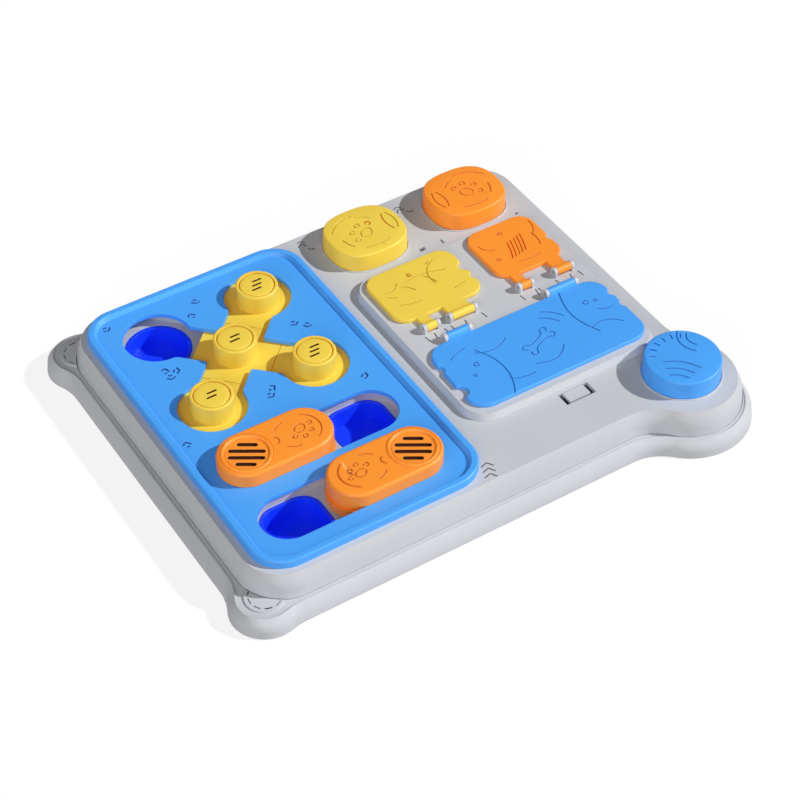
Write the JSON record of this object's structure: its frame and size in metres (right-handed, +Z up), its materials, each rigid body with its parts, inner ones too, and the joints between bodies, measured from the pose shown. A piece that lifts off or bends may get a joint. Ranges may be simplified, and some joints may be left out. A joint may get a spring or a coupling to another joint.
{
  "type": "dog puzzle feeder toy",
  "caption": "Flat dog puzzle feeder board with sliding knob blocks, sliding caps in slots, hinged lids and lift-off caps over food wells, on a lobed tray base.",
  "frame": {"origin": "on the ground under the middle of the whole outline", "axes": "+Z up, +X along the board's length towards the lidded panel, +Y to the rear, away from the sliders"},
  "size_m": [0.3774, 0.3124, 0.0433],
  "materials": {
    "deck_gray": "satin",
    "frame_gray": "satin",
    "cover_blue": "satin",
    "lid_blue": "satin",
    "well_blue": "satin",
    "bright_yellow": "satin",
    "bright_orange": "satin",
    "foot_rubber": "matt",
    "steel": "bright"
  },
  "bodies": {
    "board": {"base_tray": "deck_gray", "deck_shell": "deck_gray", "channel_frame": "frame_gray", "cover_plate": "cover_blue", "raised_panel": "deck_gray", "panel_catch": "deck_gray", "case_screws": "steel", "foot_rear_left": "foot_rubber", "foot_front_left": "foot_rubber", "foot_rear_right": "foot_rubber", "foot_front_right": "foot_rubber", "cross_well_centre": "well_blue", "cross_well_rear_right": "well_blue", "cross_well_front_right": "well_blue", "cross_well_front_left": "well_blue", "cross_well_rear_left": "well_blue", "slot_well_rear_left": "well_blue", "slot_well_rear_right": "well_blue", "slot_well_front_left": "well_blue", "slot_well_front_right": "well_blue", "food_box_yellow": "well_blue", "food_box_orange": "well_blue", "food_box_blue": "well_blue", "cap_well_yellow": "well_blue", "cap_well_orange": "well_blue", "cap_well_round": "well_blue", "hinge_pin_yellow_left": "steel", "hinge_pin_yellow_right": "steel", "hinge_pin_orange_left": "steel", "hinge_pin_orange_right": "steel", "hinge_pin_blue_left": "steel", "hinge_pin_blue_right": "steel", "block_rear_right": "bright_yellow", "knob_disc_rear_right": "bright_yellow", "block_front_left": "bright_yellow", "knob_disc_front_left": "bright_yellow"},
    "centre_block": {"block_centre": "bright_yellow", "knob_disc_centre": "bright_yellow"},
    "front_right_block": {"block_front_right": "bright_yellow", "knob_disc_front_right": "bright_yellow"},
    "rear_slider": {"slider_rear": "bright_orange", "slider_keeper_rear": "bright_orange", "slider_grille_rear": "bright_orange"},
    "front_slider": {"slider_front": "bright_orange", "slider_keeper_front": "bright_orange", "slider_grille_front": "bright_orange"},
    "yellow_lid": {"lid_yellow": "bright_yellow"},
    "orange_lid": {"lid_orange": "bright_orange"},
    "blue_lid": {"lid_blue": "lid_blue"},
    "yellow_cap": {"cap_yellow": "bright_yellow"},
    "orange_cap": {"cap_orange": "bright_orange"},
    "round_cap": {"cap_round": "cover_blue"}
  },
  "joints": [
    {"name": "centre_block_slide", "type": "slide", "parent": "board", "child": "centre_block", "axis": [-0.7071, 0.7071, 0], "range_m": [0, 0.0527]},
    {"name": "front_right_block_slide", "type": "slide", "parent": "board", "child": "front_right_block", "axis": [-0.7071, 0.7071, 0], "range_m": [0, 0.0527]},
    {"name": "rear_slider_travel", "type": "slide", "parent": "board", "child": "rear_slider", "axis": [1, 0, 0], "range_m": [0, 0.0482]},
    {"name": "front_slider_travel", "type": "slide", "parent": "board", "child": "front_slider", "axis": [-1, 0, 0], "range_m": [0, 0.0482]},
    {"name": "yellow_lid_hinge", "type": "hinge", "parent": "board", "child": "yellow_lid", "pos_m": [0.04585, 0.00925, 0.0378], "axis": [1, 0, 0], "range_deg": [0, 90]},
    {"name": "orange_lid_hinge", "type": "hinge", "parent": "board", "child": "orange_lid", "pos_m": [0.1192, 0.00925, 0.0378], "axis": [1, 0, 0], "range_deg": [0, 90]},
    {"name": "blue_lid_hinge", "type": "hinge", "parent": "board", "child": "blue_lid", "pos_m": [0.0792, -0.00555, 0.0378], "axis": [-1, 0, 0], "range_deg": [0, 90]},
    {"name": "yellow_cap_lift", "type": "slide", "parent": "board", "child": "yellow_cap", "axis": [0, 0, 1], "range_m": [0, 0.03]},
    {"name": "orange_cap_lift", "type": "slide", "parent": "board", "child": "orange_cap", "axis": [0, 0, 1], "range_m": [0, 0.03]},
    {"name": "round_cap_lift", "type": "slide", "parent": "board", "child": "round_cap", "axis": [0, 0, 1], "range_m": [0, 0.03]}
  ],
  "couplings": [
    {"joint": "front_right_block_slide", "follows": "centre_block_slide", "ratio": 1}
  ]
}
